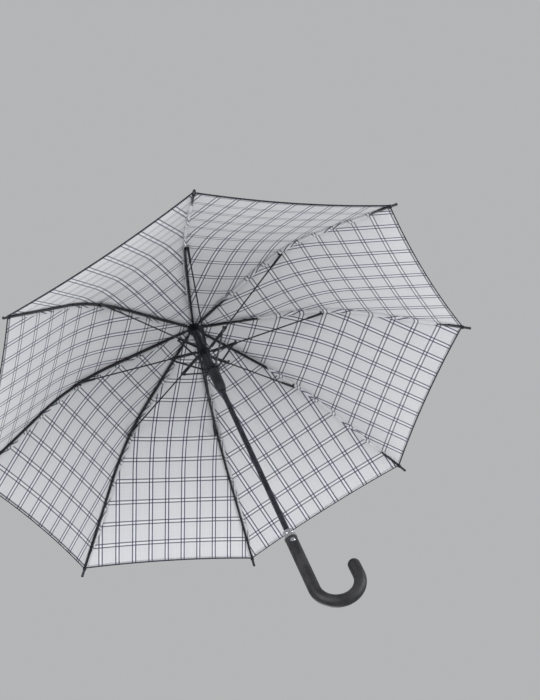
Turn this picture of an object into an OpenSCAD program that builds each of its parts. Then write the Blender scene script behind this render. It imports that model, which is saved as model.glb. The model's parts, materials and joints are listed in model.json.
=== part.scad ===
// Automatic stick umbrella, open, standing upright.
// The origin is the middle of the straight grip and +Z runs up the shaft.

/* [Canopy] */
// Distance from the shaft axis to a corner of the canopy
canopy_r = 522; // [450:1:600]
// Fall of the ribs near the shaft, in degrees
inner_fall = 11.6; // [9:0.1:14]
// Fall of the ribs at the hem, in degrees
hem_fall = 36.9; // [33:0.1:40]
// Thickness of the canopy panels
cloth_t = 0.8; // [0.6:0.1:1]
// Height where the rib lines meet the shaft axis
apex_z = 682.5; // [660:0.5:720]

/* [Shaft and handle] */
// Outer diameter of the shaft tube
shaft_d = 11; // [10.5:0.1:11.4]
// Diameter of the crook handle
grip_d = 23; // [22:0.5:25]
// Length of the straight grip
grip_len = 120; // [110:1:130]
// Radius of the crook, to the middle of the handle
crook_r = 42; // [36:1:50]

/* [Frame] */
// Radius of the circle of hinge pins in the top notch
hub_r = 12; // [12:0.1:12.4]
// Radius of the circle of hinge pins in each runner
runner_r = 10.2; // [10.2:0.1:10.6]
// Width of a rib
rib_w = 4; // [3.4:0.1:4]
// Height of a rib
rib_h = 4.4; // [4:0.1:4.6]
// Depth of the stretchers' hub below the apex
upper_depth = 81; // [80:1:86]
// Depth of the push rods' hub below the apex
lower_depth = 139; // [130:0.5:140]

/* [Hidden] */
$fn = 48;
RIBS = 8;

half_gore = 180 / RIBS;
first_rib = -90;                     // direction of rib 1 in plan
shaft_r = shaft_d / 2;
shaft_wall = 0.8;
shaft_top = apex_z + 20;
shaft_foot = -30;
slide_gap = 0.15;                    // running clearance of a runner on the shaft
rib_lift = 0.6;                      // free height between a rib's edge and the cloth
fold_drop = 0.6;                     // how far the cloth falls across a rib's half width

// Rib curve: a straight inner part, an arc, and a straight outer part
bend_r = 0.79 * canopy_r;
bend_from = 0.37 * canopy_r;
bend_to = bend_from + bend_r * (sin(hem_fall) - sin(inner_fall));
depth_from = bend_from * tan(inner_fall);
depth_to = depth_from + bend_r * (cos(inner_fall) - cos(hem_fall));
function arc_fall(r) = asin(sin(inner_fall) + (r - bend_from) / bend_r);
function rib_depth(r) =
    r <= bend_from ? r * tan(inner_fall)
    : r <= bend_to ? depth_from + bend_r * (cos(inner_fall) - cos(arc_fall(r)))
    : depth_to + (r - bend_to) * tan(hem_fall);
function rib_z(r) = apex_z - rib_depth(r);

// Hinge places in the plane of one rib, as [distance from the axis, height]
notch_pin = [hub_r, rib_z(hub_r)];
joint_r = 0.512 * canopy_r;
joint_drop = 4.5;                    // the rivet sits this far below the rib's middle line
rib_joint = [joint_r, rib_z(joint_r) - joint_drop];
upper_pin = [runner_r, apex_z - upper_depth];
lower_pin = [runner_r, apex_z - lower_depth];
push_share = 0.232;                  // place of the push rod's rivet along the stretcher
push_joint = upper_pin + push_share * (rib_joint - upper_pin);

// Sizes of the linkage
eye_r = 1.9;                         // eye at the inner end of a rib, stretcher or push rod
eye_hole = 1.1;
eye_w = 2.6;
eye_bar = 3;                         // height of the strap behind an eye
wire_r = 0.45;
flange_r = 13.9;
flange_h = 9;
upper_flange_r = runner_r + 2.1;
slot_w = 3.2;
slot_depth = 2.4;                    // from the pins to the floor of their slots
notch_high = notch_pin[1] + 1.6;
notch_low = notch_pin[1] - 5.5;
notch_foot = notch_low - 4;
side_gap = 0.4;                      // between a rib's side and the stretcher beside it
stretcher_w = 5;
stretcher_y = rib_w / 2 + side_gap + stretcher_w / 2;
eye_y = rib_w / 2 + side_gap + eye_w / 2;
upper_ring_r = norm([runner_r, eye_y]) + 0.1;  // the wire through the offset eyes
stretcher_h = 4.2;
rod_d = 3;
cap_len = 36;
lug_r = 2.4;                         // lug under the rib that takes the stretcher's rivet
cap_past = 4;                        // how far the cap runs past its rivet
push_w = 2.8;
rivet_r = 1.6;
tip_reach = 17;                      // how far a rib tip runs past the canopy corner
sleeve_r = 9.2;
spring_r = 8.4;
spring_gap = 0.3;
coil_pitch = 2.2;

// Sizes of the lower runner
runner_len = 74;
barrel_top_r = 11.7;
barrel_foot_r = 10.9;
runner_foot_r = 7.4;
cone_h = 15;
grooves = 5;
groove_pitch = 8;
groove_r = 1.1;

// Sizes of the crown cap and the ferrule
cap_seat = 5.5;                      // height of the cap's plate above the apex
cap_plate_r = 17;
cap_top_r = 13;
cap_plate_h = 3;
cap_neck_r = 7.4;
ferrule_seat = 8.5;                  // height of the ferrule's foot above the apex
ferrule_r = 8;
ferrule_neck_r = 6.8;
ferrule_collar_h = 6;
ferrule_top_r = 3.4;
ferrule_taper_h = 36;
ferrule_knob_r = 4.2;

// Sizes of the handle
collar_z = grip_len / 2;
collar_h = 18;
collar_band_h = 5;
collar_lip = 1;                      // how far the collar's band stands out past the grip
collar_bead_r = 1.2;                 // groove round the collar
nose_len = 22;                       // straight end of the crook
button_z = 49;
button_r = 4.5;
button_out = 3;
button_len = 5.4;
pocket_floor = shaft_r + 0.7;
catch_w = 2.4;
catch_out = 1.2;                     // how far the catch tooth stands out of the shaft

module at_rib(k) { rotate([0, 0, first_rib + (k - 1) * 360 / RIBS]) children(); }
// Stands a flat outline of [distance, height] in the rib plane, from y0 to y1
module slab(y0, y1) { translate([0, y1, 0]) rotate([90, 0, 0]) linear_extrude(y1 - y0) children(); }
module bar(a, b, wide) {
    turn = atan2(b[1] - a[1], b[0] - a[0]);
    translate(a) rotate(turn) translate([0, -wide / 2]) square([norm(b - a), wide]);
}
module eye(pin) { translate(pin) circle(eye_r); }
module eye_bore(pin) {
    translate([pin[0], 0, pin[1]]) rotate([90, 0, 0]) cylinder(r = eye_hole, h = 30, center = true);
}
module tube(r_out, r_in, z0, z1) {
    translate([0, 0, z0]) difference() {
        cylinder(r = r_out, h = z1 - z0);
        translate([0, 0, -1]) cylinder(r = r_in, h = z1 - z0 + 2);
    }
}
// Close-coiled spring as one sleeve with a round ridge for each turn
module coils(r_out, z0, z1, pitch) {
    turns = floor((z1 - z0) / pitch);
    rotate_extrude() {
        translate([shaft_r + slide_gap, z0]) square([r_out - pitch / 2 - shaft_r, turns * pitch]);
        for (i = [0:turns - 1])
            translate([r_out - pitch / 2, z0 + (i + 0.5) * pitch]) circle(pitch / 2 - 0.02, $fn = 24);
    }
}
module hinge_slots(pin_r, y_mid, z0, z1) {
    for (k = [1:RIBS])
        at_rib(k) translate([pin_r - slot_depth, y_mid - slot_w / 2, z0 - 1])
            cube([10, slot_w, z1 - z0 + 2]);
}
module wire_groove(r, z) {
    translate([0, 0, z]) rotate_extrude() translate([r - 0.7, -0.7]) square([6, 1.4]);
}
module tie_wire(r, z) {
    color("silver") translate([0, 0, z]) rotate_extrude() translate([r, 0]) circle(wire_r, $fn = 24);
}

module shaft() {
    color("dimgray") difference() {
        tube(shaft_r, shaft_r - shaft_wall, shaft_foot, shaft_top);
        translate([-catch_w / 2 - 0.4, -shaft_r - 1, collar_z + collar_h + 0.2])
            cube([catch_w + 0.8, 3, 6]);
    }
}

module ferrule() {
    base = apex_z + ferrule_seat;
    taper = base + ferrule_collar_h;
    color("dimgray") difference() {
        union() {
            translate([0, 0, base]) cylinder(r1 = ferrule_r, r2 = ferrule_neck_r, h = ferrule_collar_h);
            translate([0, 0, taper]) cylinder(r1 = ferrule_neck_r, r2 = ferrule_top_r, h = ferrule_taper_h);
            translate([0, 0, taper + ferrule_taper_h]) sphere(ferrule_knob_r);
        }
        translate([0, 0, base - 1]) cylinder(r = shaft_r, h = shaft_top - base + 1.2);
    }
}

module crown_cap() {
    color("dimgray") difference() {
        union() {
            translate([0, 0, apex_z + cap_seat]) cylinder(r1 = cap_plate_r, r2 = cap_top_r, h = cap_plate_h);
            translate([0, 0, apex_z]) cylinder(r = cap_neck_r, h = ferrule_seat - 0.1);
        }
        translate([0, 0, apex_z - 1]) cylinder(r = shaft_r, h = 12);
    }
}

module top_notch() {
    color("dimgray") difference() {
        union() {
            tube(flange_r, shaft_r, notch_low, notch_high);
            tube(sleeve_r, shaft_r, notch_foot, notch_high);
        }
        hinge_slots(hub_r, 0, notch_low, notch_high);
        wire_groove(hub_r, notch_pin[1]);
    }
}

module notch_wire() { tie_wire(hub_r, notch_pin[1]); }

module buffer_spring() {
    color("gray") coils(spring_r, upper_pin[1] + flange_h, notch_foot - 0.2, coil_pitch);
}

module catch_spring() {
    foot = collar_z + collar_h;
    color("silver") union() {
        translate([-catch_w / 2, -shaft_r + shaft_wall + 0.35, foot - 12]) cube([catch_w, 0.6, 30]);
        translate([-catch_w / 2, -shaft_r - catch_out, foot + 0.6]) cube([catch_w, catch_out + 1.4, 3]);
    }
}

module crook_handle() {
    bend_z = -grip_len / 2;
    color("darkslategray") difference() {
        union() {
            translate([0, 0, bend_z]) cylinder(d = grip_d, h = grip_len);
            translate([crook_r, 0, bend_z]) rotate([90, 0, 0]) rotate([0, 0, 180])
                rotate_extrude(angle = 180) translate([crook_r, 0]) circle(d = grip_d);
            translate([2 * crook_r, 0, bend_z]) cylinder(d = grip_d, h = nose_len);
            translate([2 * crook_r, 0, bend_z + nose_len]) sphere(d = grip_d);
        }
        translate([0, 0, shaft_foot]) cylinder(r = shaft_r, h = grip_len);
        translate([0, -pocket_floor, button_z]) rotate([90, 0, 0]) cylinder(r = button_r + 0.2, h = 20);
    }
}

module grip_collar() {
    color("silver") rotate_extrude() difference() {
        union() {
            translate([shaft_r, collar_z]) square([grip_d / 2 + collar_lip - shaft_r, collar_band_h]);
            polygon([[shaft_r, collar_z + collar_band_h], [grip_d / 2, collar_z + collar_band_h],
                     [grip_d / 2 - 1.5, collar_z + collar_h], [shaft_r, collar_z + collar_h]]);
        }
        translate([grip_d / 2 + 0.2, collar_z + collar_h / 2]) circle(collar_bead_r);
    }
}

module release_button() {
    outer = grip_d / 2 + button_out;
    color("silver") translate([0, -outer, button_z]) rotate([-90, 0, 0]) union() {
        translate([0, 0, 1]) cylinder(r = button_r, h = button_len - 1);
        cylinder(r1 = button_r - 1, r2 = button_r, h = 1);
    }
}

module button_spring() {
    inner = grip_d / 2 + button_out - button_len;
    color("silver") translate([0, -inner, button_z]) rotate([-90, 0, 0]) difference() {
        cylinder(r = 3, h = inner - pocket_floor);
        translate([0, 0, -1]) cylinder(r = 2.2, h = 9);
    }
}

module upper_runner() {
    z = upper_pin[1];
    color("dimgray") difference() {
        union() {
            tube(upper_flange_r, shaft_r + slide_gap, z - flange_h / 2, z + flange_h / 2);
            tube(sleeve_r, shaft_r + slide_gap, z - flange_h, z + flange_h - 0.2);
        }
        hinge_slots(runner_r, eye_y, z - flange_h, z + flange_h);
        wire_groove(upper_ring_r, z);
    }
}

module upper_wire() { tie_wire(upper_ring_r, upper_pin[1]); }

module opening_spring() {
    foot = lower_pin[1] + flange_h / 2 + spring_gap;
    color("gray") coils(spring_r, foot, upper_pin[1] - flange_h - spring_gap, coil_pitch);
}

module lower_runner() {
    top = lower_pin[1] + flange_h / 2;
    foot = top - runner_len;
    color("dimgray") difference() {
        rotate_extrude() difference() {
            polygon([[shaft_r + slide_gap, foot], [runner_foot_r, foot], [runner_foot_r + 0.6, foot + 2],
                     [barrel_foot_r, foot + cone_h], [barrel_top_r, top - flange_h],
                     [flange_r, top - flange_h], [flange_r, top], [shaft_r + slide_gap, top]]);
            for (i = [0:grooves - 1])
                translate([barrel_top_r + 0.3, top - flange_h - groove_pitch * (i + 1)]) circle(groove_r);
        }
        hinge_slots(runner_r, 0, top - flange_h, top);
        wire_groove(runner_r, lower_pin[1]);
    }
}

module lower_wire() { tie_wire(runner_r, lower_pin[1]); }

// One edge of the rib from the hub to the canopy corner, half of rib_h above or below its middle line
rib_steps = 30;
function rib_edge(side) = [for (i = [0:rib_steps]) let (r = hub_r + (canopy_r - hub_r) * i / rib_steps)
    [r, rib_z(r) + side * rib_h / 2]];
function back(list) = [for (i = [len(list) - 1:-1:0]) list[i]];

module rib(k) {
    neck = hub_r + 8;
    color("black") at_rib(k) difference() {
        union() {
            slab(-eye_w / 2, eye_w / 2) {
                eye(notch_pin);
                bar(notch_pin, [neck + 1, rib_z(neck + 1)], eye_w);
            }
            slab(-rib_w / 2, rib_w / 2) intersection() {
                polygon(concat(rib_edge(1), back(rib_edge(-1))));
                translate([neck, 0]) square([canopy_r, apex_z]);
            }
            slab(-rib_w / 2, rib_w / 2) {
                translate(rib_joint) circle(lug_r);
                translate(rib_joint - [lug_r, 0]) square([2 * lug_r, joint_drop]);
            }
        }
        eye_bore(notch_pin);
    }
}

module rib_tip(k) {
    neck = tip_reach - 3;
    color("black") at_rib(k) translate([canopy_r, 0, rib_z(canopy_r)]) rotate([0, 90 + hem_fall, 0]) {
        translate([0, 0, 0.2]) cylinder(r = 2.7, h = neck);
        translate([0, 0, neck]) sphere(3);
    }
}

module stretcher(k) {
    along = (rib_joint - upper_pin) / norm(rib_joint - upper_pin);
    turn = atan2(along[1], along[0]);
    fork = push_joint + 3 * along;
    shoulder = upper_pin + 7 * along;
    color("black") at_rib(k) difference() {
        union() {
            slab(eye_y - eye_w / 2, eye_y + eye_w / 2) {
                eye(upper_pin);
                bar(upper_pin, shoulder + 2 * along, eye_bar);
            }
            slab(stretcher_y - stretcher_w / 2, stretcher_y + stretcher_w / 2)
                bar(shoulder, fork, stretcher_h);
            translate([fork[0] - 2, stretcher_y, fork[1]]) rotate([0, 90 - turn, 0])
                cylinder(d = rod_d, h = norm(rib_joint - fork));
            translate([rib_joint[0], stretcher_y, rib_joint[1]]) rotate([0, -90 - turn, 0])
                translate([0, 0, -cap_past]) cylinder(d = stretcher_w, h = cap_len);
        }
        eye_bore(upper_pin);
    }
}

module push_rod(k) {
    color("black") at_rib(k) difference() {
        union() {
            slab(-eye_w / 2, eye_w / 2) eye(lower_pin);
            slab(-push_w / 2, push_w / 2) {
                bar(lower_pin, push_joint, push_w);
                translate(push_joint) circle(2.6);
            }
            translate([push_joint[0], rib_w / 2, push_joint[1]]) rotate([90, 0, 0])
                cylinder(r = rivet_r, h = rib_w / 2);
        }
        eye_bore(lower_pin);
    }
}

// Canopy: between two ribs the cloth runs straight across, and is drawn in along the middle of the gore
panel_rows = 18;
panel_cols = 5;
panel_from = 8;
panel_gap = 0.15;
hem_bow = 9;
slack = 5;
function cloth_z(r) = rib_z(r) + rib_h / 2 + rib_lift + fold_drop;
function cloth_point(r, share, side, lift) =
    let (u = r / canopy_r, draw = 1 - share * share,
         across = max(r * sin(half_gore) * share, panel_gap),
         out = r * cos(half_gore) - draw * hem_bow * pow(u, 3),
         z = cloth_z(r) - draw * slack * sin(180 * u) + lift,
         turn = side * half_gore)
    [out * cos(turn) + side * across * sin(turn), out * sin(turn) - side * across * cos(turn), z];
function panel_point(i, j, lift) =
    let (r = panel_from + (canopy_r - panel_from) * i / panel_rows)
    cloth_point(r, 1 - abs(j) / panel_cols, j < 0 ? -1 : 1, lift);

module canopy_panel(k) {
    wide = 2 * panel_cols + 1;
    layer = wide * (panel_rows + 1);
    points = [for (lift = [0, cloth_t]) for (i = [0:panel_rows]) for (j = [-panel_cols:panel_cols])
        panel_point(i, j, lift)];
    under = [for (i = [0:panel_rows - 1]) for (j = [0:wide - 2]) let (a = i * wide + j)
        each [[a, a + wide, a + 1], [a + 1, a + wide, a + wide + 1]]];
    over = [for (t = under) [t[2] + layer, t[1] + layer, t[0] + layer]];
    rim = concat([for (j = [0:wide - 1]) j], [for (i = [1:panel_rows]) i * wide + wide - 1],
        [for (j = [wide - 2:-1:0]) panel_rows * wide + j], [for (i = [panel_rows - 1:-1:1]) i * wide]);
    edge = [for (n = [0:len(rim) - 1]) let (a = rim[n], b = rim[(n + 1) % len(rim)])
        each [[a, b, b + layer], [a, b + layer, a + layer]]];
    color("whitesmoke") at_rib(k) polyhedron(points, concat(under, over, edge), convexity = 6);
}

shaft();
ferrule();
crown_cap();
top_notch();
notch_wire();
buffer_spring();
catch_spring();
crook_handle();
grip_collar();
release_button();
button_spring();
upper_runner();
upper_wire();
opening_spring();
lower_runner();
lower_wire();
for (k = [1:RIBS]) {
    rib(k);
    rib_tip(k);
    stretcher(k);
    push_rod(k);
    canopy_panel(k);
}
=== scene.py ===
"""Automatic stick umbrella: cloth, springs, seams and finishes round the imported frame. Metres throughout."""
import json
import math
from bisect import bisect_right

import bmesh
import bpy
from mathutils import Matrix, Quaternion, Vector


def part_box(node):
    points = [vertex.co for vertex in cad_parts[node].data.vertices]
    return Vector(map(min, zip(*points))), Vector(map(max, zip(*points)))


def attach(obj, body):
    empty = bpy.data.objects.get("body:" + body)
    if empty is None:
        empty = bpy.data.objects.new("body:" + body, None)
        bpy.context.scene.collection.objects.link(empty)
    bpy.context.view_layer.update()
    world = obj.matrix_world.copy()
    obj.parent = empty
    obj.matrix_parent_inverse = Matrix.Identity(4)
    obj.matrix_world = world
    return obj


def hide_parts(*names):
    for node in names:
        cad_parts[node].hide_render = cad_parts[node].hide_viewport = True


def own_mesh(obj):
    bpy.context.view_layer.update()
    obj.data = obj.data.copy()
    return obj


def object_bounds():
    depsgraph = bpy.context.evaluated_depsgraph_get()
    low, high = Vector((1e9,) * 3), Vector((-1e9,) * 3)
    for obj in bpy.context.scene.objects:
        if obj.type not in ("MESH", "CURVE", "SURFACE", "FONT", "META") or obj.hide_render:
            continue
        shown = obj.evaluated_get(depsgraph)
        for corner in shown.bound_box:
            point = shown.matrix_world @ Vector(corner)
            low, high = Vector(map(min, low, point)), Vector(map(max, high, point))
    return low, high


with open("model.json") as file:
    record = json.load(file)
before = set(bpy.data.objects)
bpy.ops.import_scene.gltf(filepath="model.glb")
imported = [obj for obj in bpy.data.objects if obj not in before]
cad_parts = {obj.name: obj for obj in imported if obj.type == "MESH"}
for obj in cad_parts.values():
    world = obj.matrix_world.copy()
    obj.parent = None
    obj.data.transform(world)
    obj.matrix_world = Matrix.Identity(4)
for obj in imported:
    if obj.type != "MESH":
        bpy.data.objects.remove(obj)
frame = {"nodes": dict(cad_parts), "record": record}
cad_box = [list(corner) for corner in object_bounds()]

MM = 0.001
RIBS = 8
HALF_GORE = math.pi / RIBS

# ---------------------------------------------------------------- sizes, from the frame
RIB_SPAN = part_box("rib_3")[1].x                      # shaft axis to a canopy corner
HUB_R = 12 * MM                                      # circle of the ribs' hinge pins
NOTCH_RIM = 1.6 * MM                                 # top of the notch above those pins
INNER_FALL = math.radians(11.6)                      # slope of the ribs near the shaft, and at the hem
HEM_FALL = math.radians(36.9)
APEX_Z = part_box("top_notch")[1].z - NOTCH_RIM + HUB_R * math.tan(INNER_FALL)
CLOTH_LIFT = 3.8 * MM                                # middle of the cloth above the rib's middle line
CLOTH_T = 0.3 * MM
HEM_BOW = 9 * MM                                     # how far the hem draws in at the middle of a gore
SLACK = 5 * MM                                       # sag of the cloth at the middle of a gore
PUCKER = 3 * MM                                      # small folds beside the seams: size, pitch and reach
PUCKER_TURNS = 90
PUCKER_REACH = 0.16
PUCKER_SHIFT = 2.1                                   # so that the two sides of a seam differ
BEND_R = 0.79 * RIB_SPAN                             # the ribs' arc, and where it starts and ends
BEND_FROM = 0.37 * RIB_SPAN
BEND_TO = BEND_FROM + BEND_R * (math.sin(HEM_FALL) - math.sin(INNER_FALL))
DEPTH_FROM = BEND_FROM * math.tan(INNER_FALL)
DEPTH_TO = DEPTH_FROM + BEND_R * (math.cos(INNER_FALL) - math.cos(HEM_FALL))


def rib_depth(r):
    """Fall of a rib below the apex, at distance r from the shaft axis."""
    if r <= BEND_FROM:
        return r * math.tan(INNER_FALL)
    if r <= BEND_TO:
        fall = math.asin(math.sin(INNER_FALL) + (r - BEND_FROM) / BEND_R)
        return DEPTH_FROM + BEND_R * (math.cos(INNER_FALL) - math.cos(fall))
    return DEPTH_TO + (r - BEND_TO) * math.tan(HEM_FALL)


def rib_z(r):
    """Height of a rib's middle line."""
    return APEX_Z - rib_depth(r)


def rib_turn(k):
    """Turns the +X direction to rib k, about the shaft."""
    return Matrix.Rotation(-math.pi / 2 + (k - 1) * 2 * HALF_GORE, 4, "Z")


GORE_STEPS = 60                                      # straight steps in which a gore's length is measured


def along_gore(r):
    """Length of the cloth from the apex down the middle of a gore."""
    total, last = 0.0, (0.0, 0.0)
    for i in range(1, GORE_STEPS + 1):
        here = (r * i / GORE_STEPS * math.cos(HALF_GORE), rib_depth(r * i / GORE_STEPS))
        total += math.dist(here, last)
        last = here
    return total


def cloth_point(r, share, side, lift=0.0):
    """A point of the cloth in rib k's own frame. share is 0 in the middle of the gore and 1 at the rib."""
    u = r / RIB_SPAN
    draw = 1 - share * share
    across = r * math.sin(HALF_GORE) * share
    out = r * math.cos(HALF_GORE) - draw * HEM_BOW * u ** 3
    off = 1 - share
    size = PUCKER * off * math.exp(-(off / PUCKER_REACH) ** 2)
    pucker = size * math.sin(PUCKER_TURNS * u + PUCKER_SHIFT * side)
    z = rib_z(r) + CLOTH_LIFT - draw * SLACK * math.sin(math.pi * u) + lift + pucker
    c, s = math.cos(side * HALF_GORE), math.sin(side * HALF_GORE)
    return Vector((out * c + side * across * s, out * s - side * across * c, z))


# ---------------------------------------------------------------- materials
def new_material(name):
    """A material, its nodes, its links and its shader."""
    m = bpy.data.materials.new(name)
    m.use_nodes = True
    return m, m.node_tree.nodes, m.node_tree.links, m.node_tree.nodes["Principled BSDF"]


def put(node, **inputs):
    """Sets inputs of a node, with _ for the spaces in their names."""
    for name, value in inputs.items():
        node.inputs[name.replace("_", " ")].default_value = value


class Maths:
    """Short ways to add math nodes to one node tree."""

    def __init__(self, nodes, links):
        self.nodes, self.links = nodes, links

    def op(self, kind, *args):
        """A math node on numbers or sockets."""
        n = self.nodes.new("ShaderNodeMath")
        n.operation = kind
        for i, a in enumerate(args):
            if isinstance(a, (int, float)):
                n.inputs[i].default_value = a
            else:
                self.links.new(a, n.inputs[i])
        return n.outputs[0]

    def spread(self, x, least, reach):
        """least plus reach times x."""
        return self.op("ADD", least, self.op("MULTIPLY", x, reach))

    def band(self, x, inner, outer):
        """1 where x is below inner, falling smoothly to 0 at outer."""
        n = self.nodes.new("ShaderNodeMapRange")
        n.interpolation_type = "SMOOTHSTEP"
        put(n, From_Min=inner, From_Max=outer, To_Min=1.0, To_Max=0.0)
        self.links.new(x, n.inputs["Value"])
        return n.outputs["Result"]

    def mix(self, share, a, b):
        """Colour a where share is 0 and b where it is 1."""
        n = self.nodes.new("ShaderNodeMix")
        n.data_type = "RGBA"
        for socket, value in ((n.inputs[0], share), (n.inputs[6], a), (n.inputs[7], b)):
            if isinstance(value, bpy.types.NodeSocket):
                self.links.new(value, socket)
            else:
                socket.default_value = value
        return n.outputs[2]


def noise(nodes, links, scale, detail=3.0, coords=None):
    """Noise over the piece's own coordinates, or over the given ones."""
    n = nodes.new("ShaderNodeTexNoise")
    put(n, Scale=scale, Detail=detail)
    if coords is None:
        coords = nodes.new("ShaderNodeTexCoord").outputs["Object"]
    links.new(coords, n.inputs["Vector"])
    return n.outputs["Fac"]


def add_bump(nodes, links, shader, height, strength, distance):
    """Small relief on a shader."""
    b = nodes.new("ShaderNodeBump")
    put(b, Strength=strength, Distance=distance)
    links.new(height, b.inputs["Height"])
    links.new(b.outputs["Normal"], shader.inputs["Normal"])


PAIR_ACROSS = 38 * MM                                # pitch of the line pairs that run down the gore
PAIR_ALONG = 47 * MM                                 # pitch of the pairs that run across it
# Where the check falls in gore k, which lies between ribs k and k + 1, in mm as cut: how far the pairs stand
# sideways from its mid-line, and how far the first pair lies below the apex
CHECK_AT = {
    1: (-5.5, 24.5), 2: (-9.5, 29), 3: (-10, 34), 4: (-2, 36.5),
    5: (-11, 34), 6: (-22, 30), 7: (-13, 28), 8: (-3.5, 25),
}
LINE_OFF = 3.7 * MM                                  # each line's place beside the middle of its pair
LINE_HALF = 1.2 * MM
THREAD_PITCH = 0.45 * MM                             # the weave
CLOTH_COLOURS = ((0.62, 0.63, 0.665, 1), (0.67, 0.67, 0.685, 1))
WHITE = (0.86, 0.865, 0.89, 1)                       # between the two lines of a pair
WHITE_SHARE = 0.36
DOWN_INK = (0.022, 0.027, 0.080, 1)
ACROSS_INK = (0.040, 0.042, 0.070, 1)
ACROSS_SHARE = 0.92
PASTEL_HALF = (0.15 * MM, 0.7 * MM)                  # where a pastel line starts to fade, and where it ends
# Thin pastel lines, as (place beside a pair, strength, colour): those down the gore, then those across it
PASTELS_DOWN = ((11 * MM, 0.30, (0.55, 0.42, 0.50, 1)), (15 * MM, 0.26, (0.42, 0.52, 0.45, 1)))
PASTELS_ACROSS = ((13 * MM, 0.26, (0.47, 0.46, 0.56, 1)), (18.5 * MM, 0.24, (0.50, 0.53, 0.42, 1)))


def cloth_material():
    """Woven check: pairs of dark lines with white between them, and pastel lines, on pale grey."""
    m, nodes, links, shader = new_material("canopy_cloth")
    q = Maths(nodes, links)
    uv = nodes.new("ShaderNodeUVMap")
    uv.uv_map = "cut"
    parts = nodes.new("ShaderNodeSeparateXYZ")
    links.new(uv.outputs["UV"], parts.inputs[0])
    u, v = parts.outputs["X"], parts.outputs["Y"]
    to_u = q.op("PINGPONG", u, PAIR_ACROSS / 2)
    to_v = q.op("PINGPONG", v, PAIR_ALONG / 2)

    def lines(d):
        return q.band(q.op("ABSOLUTE", q.op("SUBTRACT", d, LINE_OFF)), LINE_HALF * 0.7, LINE_HALF * 1.5)

    def gap(d):
        return q.band(d, LINE_OFF - 1.6 * LINE_HALF, LINE_OFF - 0.6 * LINE_HALF)

    def thin(d, place):
        return q.band(q.op("ABSOLUTE", q.op("SUBTRACT", d, place)), *PASTEL_HALF)

    blotch = noise(nodes, links, 9.0, 2.0)
    ground = q.mix(blotch, *CLOTH_COLOURS)
    for distance, pastels in ((to_u, PASTELS_DOWN), (to_v, PASTELS_ACROSS)):
        for place, strength, colour in pastels:
            ground = q.mix(q.op("MULTIPLY", thin(distance, place), strength), ground, colour)
    white = q.op("MULTIPLY", q.op("MAXIMUM", gap(to_u), gap(to_v)), WHITE_SHARE)
    ground = q.mix(white, ground, WHITE)
    run = noise(nodes, links, 700.0, 1.0)
    ink = q.spread(run, 0.82, 0.18)
    across = q.op("MULTIPLY", lines(to_v), q.op("MULTIPLY", ink, ACROSS_SHARE))
    colour = q.mix(q.op("MULTIPLY", lines(to_u), ink), q.mix(across, ground, ACROSS_INK), DOWN_INK)
    links.new(colour, shader.inputs["Base Color"])
    rough = q.spread(noise(nodes, links, 60.0), 0.62, 0.2)
    links.new(rough, shader.inputs["Roughness"])
    put(shader, Sheen_Weight=0.25, Sheen_Roughness=0.5, Specular_IOR_Level=0.3)
    weave = q.op("MULTIPLY", q.op("SINE", q.op("MULTIPLY", u, math.tau / THREAD_PITCH)),
                 q.op("SINE", q.op("MULTIPLY", v, math.tau / THREAD_PITCH)))
    wrinkle = noise(nodes, links, 26.0, 4.0)
    height = q.op("ADD", q.op("MULTIPLY", weave, 0.25), q.op("MULTIPLY", wrinkle, 2.5))
    add_bump(nodes, links, shader, height, 0.35, 0.4 * MM)
    return m


WORN, WORN_LEAST = 1.7, 0.006                        # how much lighter enamel gets where it is worn


def enamel_material(name, colour, rough, grain=2600.0, bump=0.08):
    """Painted or moulded surface: small changes of gloss, worn lighter in places, and a fine grain."""
    m, nodes, links, shader = new_material(name)
    q = Maths(nodes, links)
    worn = tuple(min(1.0, c * WORN + WORN_LEAST) for c in colour)
    wear = q.band(noise(nodes, links, 34.0, 5.0), 0.35, 0.62)
    links.new(q.mix(wear, (*worn, 1), (*colour, 1)), shader.inputs["Base Color"])
    gloss = q.spread(noise(nodes, links, 90.0), rough - 0.06, 0.14)
    links.new(gloss, shader.inputs["Roughness"])
    put(shader, Specular_IOR_Level=0.34)
    add_bump(nodes, links, shader, noise(nodes, links, grain, 2.0), bump, 0.1 * MM)
    return m


DRAWN = 30                                           # how far the drawing marks are stretched
DRAWN_DARK = 0.72                                    # their colour, as a share of the metal's


def metal_material(name, colour, rough):
    """Bare metal with drawing marks along the piece."""
    m, nodes, links, shader = new_material(name)
    q = Maths(nodes, links)
    coords = nodes.new("ShaderNodeTexCoord")
    mapping = nodes.new("ShaderNodeMapping")
    put(mapping, Scale=(1, 1, DRAWN))
    links.new(coords.outputs["Object"], mapping.inputs["Vector"])
    streak = noise(nodes, links, 160.0, 4.0, mapping.outputs["Vector"])
    dark = tuple(c * DRAWN_DARK for c in colour)
    links.new(q.mix(streak, (*dark, 1), (*colour, 1)), shader.inputs["Base Color"])
    links.new(q.spread(streak, rough - 0.08, 0.18), shader.inputs["Roughness"])
    put(shader, Metallic=1.0)
    add_bump(nodes, links, shader, streak, 0.12, 0.05 * MM)
    return m


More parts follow.
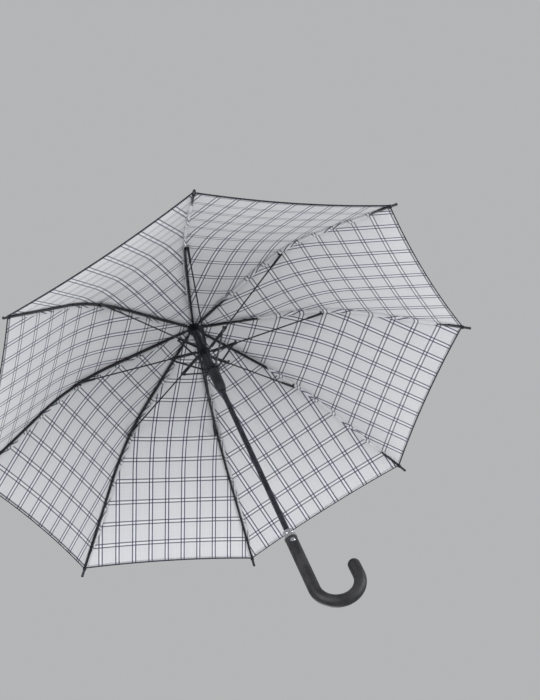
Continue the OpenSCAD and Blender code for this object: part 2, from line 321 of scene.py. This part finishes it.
CLOTH = cloth_material()
MATERIALS = {
    "canopy_fabric": CLOTH,
    "black_steel": enamel_material("black_shaft_enamel", (0.006, 0.007, 0.011), 0.27),
    "frame_steel": enamel_material("black_rib_enamel", (0.005, 0.005, 0.009), 0.34),
    "black_plastic": enamel_material("black_moulding", (0.008, 0.009, 0.012), 0.38, bump=0.14),
    "handle_black": enamel_material("handle_soft_black", (0.013, 0.013, 0.015), 0.52, 1800.0, 0.35),
    "spring_steel": metal_material("blackened_spring_wire", (0.060, 0.062, 0.070), 0.30),
    "bright_wire": metal_material("drawn_tie_wire", (0.60, 0.60, 0.62), 0.30),
    "collar_metal": metal_material("collar_chrome", (0.62, 0.62, 0.64), 0.18),
    "button_metal": metal_material("button_chrome", (0.60, 0.60, 0.62), 0.24),
}
THREAD = enamel_material("black_thread", (0.010, 0.010, 0.018), 0.8, bump=0.3)


# ---------------------------------------------------------------- mesh helpers
SHARP = math.radians(50)                             # edges that turn by more than this stay sharp
WELD = 1e-6


def add_piece(name, body, material, verts, faces, uvs=None, smooth=True, weld=True):
    """A mesh that rides on a body. uvs gives each face corner's place on the check."""
    mesh = bpy.data.meshes.new(name)
    mesh.from_pydata([tuple(v) for v in verts], [], faces)
    if uvs is not None:
        layer = mesh.uv_layers.new(name="cut")
        for loop, uv in zip(layer.data, uvs):
            loop.uv = uv
    mesh.validate()
    if weld:
        bm = bmesh.new()
        bm.from_mesh(mesh)
        bmesh.ops.remove_doubles(bm, verts=bm.verts, dist=WELD)
        bm.to_mesh(mesh)
        bm.free()
    for p in mesh.polygons:
        p.use_smooth = smooth
    mesh.materials.append(material)
    obj = bpy.data.objects.new(name, mesh)
    bpy.context.scene.collection.objects.link(obj)
    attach(obj, body)
    return obj


def thicken(obj, thickness):
    """Gives a sheet its thickness, half on each side."""
    solid = obj.modifiers.new("thickness", "SOLIDIFY")
    solid.thickness = thickness
    solid.offset = 0
    dg = bpy.context.evaluated_depsgraph_get()
    made = bpy.data.meshes.new_from_object(obj.evaluated_get(dg), depsgraph=dg)
    obj.modifiers.clear()
    made.set_sharp_from_angle(angle=SHARP)
    obj.data = made


def grid_faces(rows, cols, start=0):
    """Quads of a grid with rows x cols points."""
    corners = [start + i * cols + j for i in range(rows - 1) for j in range(cols - 1)]
    return [(c, c + 1, c + cols + 1, c + cols) for c in corners]


def tube_along(points, radius, sides, closed=False):
    """Verts and faces of a round wire along points."""
    verts, faces, n = [], [], len(points)
    for i, p in enumerate(points):
        ahead = points[(i + 1) % n] if closed or i < n - 1 else p
        behind = points[i - 1] if closed or i > 0 else p
        way = (ahead - behind).normalized()
        side = way.cross(Vector((0, 0, 1)))
        side = side.normalized() if side.length > WELD else Vector((1, 0, 0))
        up = side.cross(way)
        for a in range(sides):
            t = math.tau * a / sides
            verts.append(p + radius * (math.cos(t) * side + math.sin(t) * up))
    for i in range(n if closed else n - 1):
        for a in range(sides):
            b = (a + 1) % sides
            j = (i + 1) % n
            faces.append((i * sides + a, i * sides + b, j * sides + b, j * sides + a))
    if not closed:
        faces.append(tuple(range(sides - 1, -1, -1)))
        faces.append(tuple((n - 1) * sides + a for a in range(sides)))
    return verts, faces


def thread_piece(name, k, verts, faces, smooth=True):
    """A piece of sewing thread on rib k."""
    return add_piece(f"{name}_{k}", f"rib_arm_{k}", THREAD, verts, faces, smooth=smooth)


def threads(name, k, lines, radius, sides, closed=False):
    """Round threads along several lines, as one piece."""
    verts, faces = [], []
    for line in lines:
        v, f = tube_along(line, radius, sides, closed)
        faces += [tuple(i + len(verts) for i in face) for face in f]
        verts += v
    return thread_piece(name, k, verts, faces)


# ---------------------------------------------------------------- canopy
BANDS, BAND_ROWS = 12, 5                             # a panel is cut into bands, each of so many rows
COLS = 14                                            # points from the middle of a gore to the rib
PANEL_FROM = 8 * MM


def on_check(k, side, across, along):
    """Place on the printed check of a point of rib k's panel, from its place on the flat gore."""
    gore = k if side == 1 else (k - 2) % RIBS + 1
    sideways, first = CHECK_AT[gore]
    return side * across - sideways * MM, along - first * MM


def cloth_half(k, side, rows, r_of, lift):
    """Grid of one half of a panel: its points, and their places on the check."""
    points, cuts = [], []
    for i in range(rows):
        r = r_of(i / (rows - 1))
        length = along_gore(r)
        for j in range(COLS):
            share = j / (COLS - 1)
            points.append(cloth_point(r, share, side, lift))
            cuts.append(on_check(k, side, r * math.sin(HALF_GORE) * share, length))
    return points, cuts


def build_cloth(name, k, r_of, rows, lift=0.0):
    """Both halves of a cloth grid on rib k, joined along the rib."""
    verts, faces, uvs = [], [], []
    for side in (-1, 1):
        points, cuts = cloth_half(k, side, rows, r_of, lift)
        start = len(verts)
        verts += [rib_turn(k) @ p for p in points]
        for f in grid_faces(rows, COLS, start):
            f = f if side == 1 else f[::-1]
            faces.append(f)
            uvs += [cuts[i - start] for i in f]
    return add_piece(name, f"rib_arm_{k}", CLOTH, verts, faces, uvs)


def panel_r(t):
    """Distance from the shaft of the place at share t of a panel, from its inner edge to the hem."""
    return PANEL_FROM + (RIB_SPAN - PANEL_FROM) * t


def panel(k):
    """Rib k's cloth as bands from the apex to the hem, shaded as one smooth panel."""
    whole = build_cloth(f"whole_panel_{k}", k, panel_r, rows=BANDS * BAND_ROWS + 1)
    mesh, bands = whole.data, []
    cut, normals = mesh.uv_layers["cut"].data, mesh.corner_normals
    starts = [along_gore(panel_r(n / BANDS)) for n in range(1, BANDS)]
    faces_of = [[] for _ in range(BANDS)]
    for face in mesh.polygons:
        side = 1 if (rib_turn(k).inverted() @ face.center).y > 0 else -1
        first = on_check(k, side, 0, 0)[1]
        down = sum(cut[i].uv.y for i in face.loop_indices) / face.loop_total - first
        faces_of[bisect_right(starts, down)].append(face)
    for n, faces in enumerate(faces_of, 1):
        used = sorted({v for f in faces for v in f.vertices})
        place = {v: i for i, v in enumerate(used)}
        loops = [i for f in faces for i in f.loop_indices]
        obj = add_piece(f"cloth_panel_{k}_{n}", f"rib_arm_{k}", CLOTH,
                        [mesh.vertices[v].co for v in used], [[place[v] for v in f.vertices] for f in faces],
                        [cut[i].uv for i in loops], weld=False)
        obj.data.normals_split_custom_set([normals[i].vector for i in loops])
        thicken(obj, CLOTH_T)
        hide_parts(f"canopy_panel_{k}")
        bands.append(obj)
    bpy.data.objects.remove(whole)
    return bands


HEM_W = 6 * MM
HEM_BACK = 0.2 * MM                                  # the turned-in hem lies back from the edge,
HEM_UNDER = 0.55 * MM                                # and under the cloth
STITCH_ROWS = (1.0 * MM, 2.6 * MM)                   # from the hem's inner edge
STITCH_PITCH, STITCH_LEN = 3.4 * MM, 2.3 * MM
STITCH_HALF_W, STITCH_HALF_H = 0.22 * MM, 0.18 * MM
STITCH_UNDER = 1.0 * MM
CORNER_BARE = 3 * MM                                 # the rows of stitches stop this far from the rib
# Faces of a block with corners 0 to 3 at one end and 4 to 7 at the other
BLOCK = ((0, 1, 2, 3), (7, 6, 5, 4), (0, 4, 5, 1), (1, 5, 6, 2), (2, 6, 7, 3), (3, 7, 4, 0))


def hem_r(t):
    """Distance from the shaft of the place at share t of the hem's width."""
    return RIB_SPAN - HEM_BACK - HEM_W * (1 - t)


def hem(k):
    """The edge of the cloth, turned in under it."""
    obj = build_cloth(f"hem_{k}", k, hem_r, rows=3, lift=-HEM_UNDER)
    thicken(obj, CLOTH_T)
    return obj


def stitches(k):
    """Two rows of thread stitches along the hem."""
    verts, faces = [], []
    half_len = RIB_SPAN * math.sin(HALF_GORE)
    for side in (-1, 1):
        for row in STITCH_ROWS:
            r = RIB_SPAN - HEM_W + row
            for n in range(int((half_len - CORNER_BARE) / STITCH_PITCH)):
                a = n * STITCH_PITCH / half_len
                b = (n * STITCH_PITCH + STITCH_LEN) / half_len
                ends = [cloth_point(r, s, side, -STITCH_UNDER) for s in (a, b)]
                way = (ends[1] - ends[0]).normalized()
                out = way.cross(Vector((0, 0, 1))).normalized() * STITCH_HALF_W
                up = Vector((0, 0, STITCH_HALF_H))
                start = len(verts)
                for e in ends:
                    verts += [rib_turn(k) @ (e + x) for x in (out + up, -out + up, -out - up, out - up)]
                faces += [tuple(start + i for i in f) for f in BLOCK]
    return thread_piece("hem_stitches", k, verts, faces, smooth=False)


FLAP_W = 9.5 * MM                                    # width of the seam allowance as cut
FLAP_T = 0.4 * MM
FLAP_FROM, FLAP_LONG = 0.10, 0.86                    # shares of the rib's span
FLAP_ROWS = 90
FLAP_EASE = 14                                       # how quickly it widens at its ends
TUCK_EASE = 0.05
# Two waves along the loose edge, as (size, turns, shift from rib to rib)
FLUTTER = ((0.5 * MM, 61, 1), (0.4 * MM, 143, 2))
# Outlines of the seam allowance across a rib, in mm off the rib's plane and above its middle line
TUCKED = ((-2.6, 3.0), (-2.7, 0.0), (-2.5, -2.8), (-0.9, -4.0), (1.6, -4.9))
BESIDE = ((-2.6, 3.0), (-3.6, 1.1), (-4.7, -0.8), (-5.9, -2.6), (-7.2, -4.2))
# The ribs where it is tucked, and the share of the rib's span where that starts
TUCK_FROM = {1: 0.50, 2: 0.18, 3: 0.24, 4: 0.35}


def smooth(x):
    """Eases from 0 to 1."""
    x = min(1.0, max(0.0, x))
    return x * x * (3 - 2 * x)


def seam_flap(k):
    """Seam allowance of the two gores: beside the rib, and on ribs 1 to 4 tucked under it further out."""
    cols = len(BESIDE)
    (seam_y, seam_z), verts, uvs = BESIDE[0], [], []
    for i in range(FLAP_ROWS):
        t = i / (FLAP_ROWS - 1)
        r = RIB_SPAN * (FLAP_FROM + FLAP_LONG * t)
        ease = min(1.0, FLAP_EASE * t, FLAP_EASE * (1 - t))
        flutter = sum(size * math.sin(turns * t + shift * k) for size, turns, shift in FLUTTER)
        tuck = smooth((r / RIB_SPAN - TUCK_FROM.get(k, 1.0)) / TUCK_EASE)
        for j, (beside, tucked) in enumerate(zip(BESIDE, TUCKED)):
            s = j / (cols - 1)
            way, height = (b + (u - b) * tuck for b, u in zip(beside, tucked))
            y = (seam_y + (way - seam_y) * ease) * MM
            z = (seam_z + (height - seam_z) * ease) * MM - flutter * s * s
            verts.append(rib_turn(k) @ Vector((r, y, rib_z(r) + z)))
            uvs.append(on_check(k, -1, r * math.sin(HALF_GORE) + FLAP_W * s, along_gore(r)))
    faces = grid_faces(FLAP_ROWS, cols)
    obj = add_piece(f"seam_allowance_{k}", f"rib_arm_{k}", CLOTH, verts, faces,
                    [uvs[i] for f in faces for i in f])
    thicken(obj, FLAP_T)
    return obj


EDGE_R = RIB_SPAN - 0.6 * MM                         # middle of the overlock thread
EDGE_UNDER = 0.2 * MM
EDGE_THREAD = 1.2 * MM
EDGE_STEPS = 40
CORNER_R = RIB_SPAN - 1.5 * MM                       # middle of the thread wound on a corner
CORNER_TURNS, CORNER_STEPS = 7, 18
CORNER_PITCH = 0.75 * MM
CORNER_COIL, CORNER_SWELL = 3.35 * MM, 0.25 * MM
CORNER_THREAD = 0.45 * MM
TIE_AT = (0.30, 0.66)                                # shares of the rib's span
TIE_TURNS, TIE_STEPS = 3, 20
TIE_PITCH = 0.9 * MM
TIE_HALF_W, TIE_HALF_H = 2.35 * MM, 2.95 * MM
TIE_LIFT = 0.35 * MM
TIE_THREAD = 0.22 * MM


def hem_edge(k):
    """Dark overlock thread that binds the cut edge of the hem."""
    shares = [j / EDGE_STEPS for j in range(EDGE_STEPS + 1)]
    lines = [[rib_turn(k) @ cloth_point(EDGE_R, share, side, -EDGE_UNDER) for share in shares]
             for side in (-1, 1)]
    return threads("hem_edge", k, lines, EDGE_THREAD, sides=8)


def corner_tie(k):
    """Thread wound round the rib's end and the corner of the canopy."""
    fall = Matrix.Rotation(HEM_FALL, 4, "Y")
    place = Matrix.Translation(Vector((CORNER_R, 0, rib_z(CORNER_R))))
    steps = CORNER_TURNS * CORNER_STEPS
    line = []
    for n in range(steps + 1):
        a = math.tau * n / CORNER_STEPS
        coil_r = CORNER_COIL + CORNER_SWELL * math.sin(math.pi * n / steps)
        along = CORNER_PITCH * (n / CORNER_STEPS - CORNER_TURNS / 2)
        line.append(rib_turn(k) @ place @ fall @ Vector((along, coil_r * math.cos(a), coil_r * math.sin(a))))
    return threads("corner_tie", k, [line], CORNER_THREAD, sides=6)


def squared(x):
    """Pulls a sine or cosine towards -1 or 1, so that a circle becomes a rounded square."""
    return math.copysign(abs(x) ** 0.5, x)


def rib_ties(k):
    """Thread loops that hold the seam to the rib."""
    angles = [math.tau * a / TIE_STEPS for a in range(TIE_STEPS)]
    outline = [(TIE_HALF_W * squared(math.cos(t)), TIE_HALF_H * squared(math.sin(t))) for t in angles]
    lines = []
    for share in TIE_AT:
        for turn in range(TIE_TURNS):
            x = RIB_SPAN * share + turn * TIE_PITCH
            middle = rib_z(x) + TIE_LIFT
            lines.append([rib_turn(k) @ Vector((x, y, middle + z)) for y, z in outline])
    return threads("rib_ties", k, lines, TIE_THREAD, sides=6, closed=True)


def cut_size(inner, outer):
    """Width and length of a band as cut flat, and its area."""
    width, narrow = (2 * r * math.sin(HALF_GORE) for r in (outer, inner))
    length = along_gore(outer) - along_gore(inner)
    return (width, length), (width + narrow) / 2 * length


for k in range(1, RIBS + 1):
    bands = panel(k)
    sewn = [hem(k), stitches(k), hem_edge(k), seam_flap(k), corner_tie(k), rib_ties(k)]
    for n, band in enumerate(bands):
        inner, outer = panel_r(n / BANDS), panel_r((n + 1) / BANDS)
        last = n == BANDS - 1
        for soft in [band, *sewn[:3]] if last else [band]:
            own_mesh(soft)
        flat, area = cut_size(inner, outer)


# ---------------------------------------------------------------- springs
WIRE_R = 1.05 * MM
WIRE_PITCH = 2.04 * WIRE_R                           # the turns all but touch
TURN_STEPS = 28


def coil(name, node, body):
    """Wire spring that fills the CAD spring's box."""
    low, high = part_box(node)
    coil_r = (high.x - low.x) / 2 - WIRE_R
    turns = int((high.z - low.z - 2 * WIRE_R) / WIRE_PITCH)
    points = []
    for i in range(turns * TURN_STEPS + 1):
        a = math.tau * i / TURN_STEPS
        z = low.z + WIRE_R + WIRE_PITCH * i / TURN_STEPS
        points.append(Vector((coil_r * math.cos(a), coil_r * math.sin(a), z)))
    verts, faces = tube_along(points, WIRE_R, sides=8)
    obj = add_piece(name, body, MATERIALS["spring_steel"], verts, faces)
    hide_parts(node)
    return obj


coil("buffer_spring_wire", "buffer_spring", "handle_and_shaft")
opening = coil("opening_spring_wire", "opening_spring", "upper_hub")
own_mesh(opening)


# ---------------------------------------------------------------- finishes on the carried-over nodes
slot_of = {row["node"]: row["material_slot"] for row in frame["record"]["subparts"]}
for name, obj in frame["nodes"].items():
    obj.data.materials.clear()
    obj.data.materials.append(MATERIALS[slot_of[name]])


# ---------------------------------------------------------------- floor, light and camera
FLOOR_BELOW = 3.2                                    # from the crook down to the floor
FLOOR_REACH = 40
FLOOR_COLOUR = (0.74, 0.745, 0.75, 1)
SURROUND_COLOUR = (0.46, 0.465, 0.47, 1)
AIM = (0, 0, APEX_Z - 0.1)
# Soft lamps, as (name, place, size, power)
LAMPS = (
    ("front_soft", (-2.2, -3.2, -0.25), 2.2, 132),
    ("right_soft", (3.3, -1.0, -0.2), 2.1, 90),
    ("back_soft", (-1.2, 3.2, -0.2), 2.1, 84),
    ("top_soft", (0.6, 0.8, 3.2), 2.2, 60),
)


def area_light(name, place, size, power):
    """A square lamp, turned to the umbrella."""
    data = bpy.data.lights.new(name, "AREA")
    data.size, data.energy = size, power
    light = bpy.data.objects.new(name, data)
    light.location = place
    light.rotation_mode = "QUATERNION"
    light.rotation_quaternion = (Vector(AIM) - Vector(place)).to_track_quat("-Z", "Y")
    bpy.context.scene.collection.objects.link(light)


def studio():
    """A pale floor, an even grey surround and the lamps."""
    floor_z = cad_box[0][2] - FLOOR_BELOW
    mesh = bpy.data.meshes.new("floor")
    signs = ((-1, -1), (1, -1), (1, 1), (-1, 1))
    mesh.from_pydata([(x * FLOOR_REACH, y * FLOOR_REACH, floor_z) for x, y in signs], [], [(0, 1, 2, 3)])
    floor = bpy.data.objects.new("floor", mesh)
    m, _, _, shader = new_material("pale_floor")
    put(shader, Base_Color=FLOOR_COLOUR, Roughness=0.8)
    mesh.materials.append(m)
    bpy.context.scene.collection.objects.link(floor)
    world = bpy.data.worlds.new("studio")
    world.use_nodes = True
    put(world.node_tree.nodes["Background"], Color=SURROUND_COLOUR, Strength=1.0)
    bpy.context.scene.world = world
    bpy.context.scene.view_settings.view_transform = "Standard"
    for lamp in LAMPS:
        area_light(*lamp)


# The photo's viewpoint, from below and in front
CAMERA_PLACE = Vector((-0.3768, -1.9292, -1.4387))
CAMERA_AIM = Vector((0.1203, -0.0315, 0.5169))
CAMERA_ROLL = math.radians(27.43)
CAMERA_LENS, CAMERA_SENSOR = 69.16, 36               # in mm


def camera():
    """The camera of the main view."""
    data = bpy.data.cameras.new("camera")
    data.lens, data.sensor_width = CAMERA_LENS, CAMERA_SENSOR
    cam = bpy.data.objects.new("camera", data)
    cam.location = CAMERA_PLACE
    cam.rotation_mode = "QUATERNION"
    level = (CAMERA_AIM - CAMERA_PLACE).to_track_quat("-Z", "Y")
    cam.rotation_quaternion = level @ Quaternion((0, 0, 1), -CAMERA_ROLL)
    bpy.context.scene.collection.objects.link(cam)
    bpy.context.scene.camera = cam


studio()
camera()
